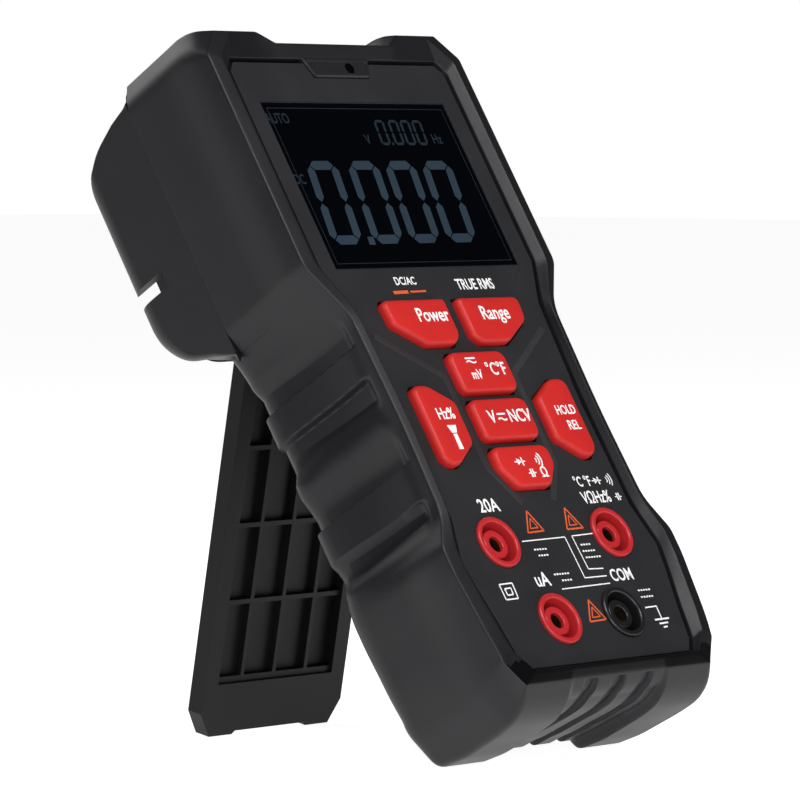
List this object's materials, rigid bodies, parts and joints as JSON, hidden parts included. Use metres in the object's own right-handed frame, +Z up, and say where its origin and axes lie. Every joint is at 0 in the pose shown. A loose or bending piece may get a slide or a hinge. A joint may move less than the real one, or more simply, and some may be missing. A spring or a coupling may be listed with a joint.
{
  "type": "digital multimeter",
  "caption": "Handheld digital multimeter leaning on a fold-out stand, with sprung push keys, a display, test-lead sockets and a rear battery door.",
  "frame": {"origin": "bottom centre of the bounding box, on the surface the meter stands on", "axes": "+Z up, +X to the right when facing the display, +Y to the back, towards the stand's foot"},
  "size_m": [0.0908, 0.1348, 0.1714],
  "materials": {
    "bumper": "fine moulded grain",
    "panel": "satin",
    "stand_plastic": "moulded",
    "smoked_window": "smoked",
    "clear_window": "polished",
    "lcd": "dark display",
    "light_guide": "diffuse",
    "silicone": "matt",
    "dark_frame": "matt",
    "red_key": "satin",
    "red_plastic": "moulded",
    "black_plastic": "moulded",
    "switch_metal": "stamped",
    "brass": "turned",
    "board_green": "solder mask",
    "ceramic": "glazed",
    "copper_wire": "drawn",
    "disc_blue": "dipped",
    "cell_metal": "printed sleeve",
    "spring_steel": "plated",
    "screw_steel": "zinc plated"
  },
  "bodies": {
    "case": {"front_shell": "bumper", "rear_shell": "bumper", "front_panel": "panel", "sensor_window": "smoked_window", "display_lens": "clear_window", "lcd_glass": "lcd", "backlight": "light_guide", "zebra_strip": "silicone", "lcd_frame": "dark_frame", "keypad_membrane": "silicone", "key_switches": "switch_metal", "current_jack": "red_plastic", "voltage_jack": "red_plastic", "microamp_jack": "red_plastic", "common_jack": "black_plastic", "jack_sleeves": "brass", "main_board": "board_green", "measuring_chip": "black_plastic", "buzzer": "black_plastic", "fuses": "ceramic", "fuse_clips": "brass", "current_shunt": "copper_wire", "surge_discs": "disc_blue", "torch_lamp": "clear_window", "field_antenna": "copper_wire", "indicator_lamp": "clear_window", "battery_cells": "cell_metal", "battery_contacts": "spring_steel", "battery_door": "bumper", "case_screws": "screw_steel", "door_screws": "screw_steel", "stand_pins": "screw_steel"},
    "stand": {"kickstand": "stand_plastic"},
    "power_button": {"power_key": "red_key"},
    "range_button": {"range_key": "red_key"},
    "temperature_button": {"temperature_key": "red_key"},
    "voltage_button": {"voltage_key": "red_key"},
    "continuity_button": {"continuity_key": "red_key"},
    "frequency_button": {"frequency_key": "red_key"},
    "hold_button": {"hold_key": "red_key"}
  },
  "joints": [
    {"name": "stand_fold", "type": "hinge", "parent": "case", "child": "stand", "pos_m": [0, 0.02944, 0.10272], "axis": [1, 0, 0], "range_deg": [-42.4, 0]},
    {"name": "power_press", "type": "slide", "parent": "case", "child": "power_button", "axis": [0, 0.848, -0.5299], "range_m": [0, 0.0009], "stiffness_N_per_m": 400, "springref_m": -0.0008},
    {"name": "range_press", "type": "slide", "parent": "case", "child": "range_button", "axis": [0, 0.848, -0.5299], "range_m": [0, 0.0009], "stiffness_N_per_m": 400, "springref_m": -0.0008},
    {"name": "temperature_press", "type": "slide", "parent": "case", "child": "temperature_button", "axis": [0, 0.848, -0.5299], "range_m": [0, 0.0009], "stiffness_N_per_m": 400, "springref_m": -0.0008},
    {"name": "voltage_press", "type": "slide", "parent": "case", "child": "voltage_button", "axis": [0, 0.848, -0.5299], "range_m": [0, 0.0009], "stiffness_N_per_m": 400, "springref_m": -0.0008},
    {"name": "continuity_press", "type": "slide", "parent": "case", "child": "continuity_button", "axis": [0, 0.848, -0.5299], "range_m": [0, 0.0009], "stiffness_N_per_m": 400, "springref_m": -0.0008},
    {"name": "frequency_press", "type": "slide", "parent": "case", "child": "frequency_button", "axis": [0, 0.848, -0.5299], "range_m": [0, 0.0009], "stiffness_N_per_m": 400, "springref_m": -0.0008},
    {"name": "hold_press", "type": "slide", "parent": "case", "child": "hold_button", "axis": [0, 0.848, -0.5299], "range_m": [0, 0.0009], "stiffness_N_per_m": 400, "springref_m": -0.0008}
  ]
}
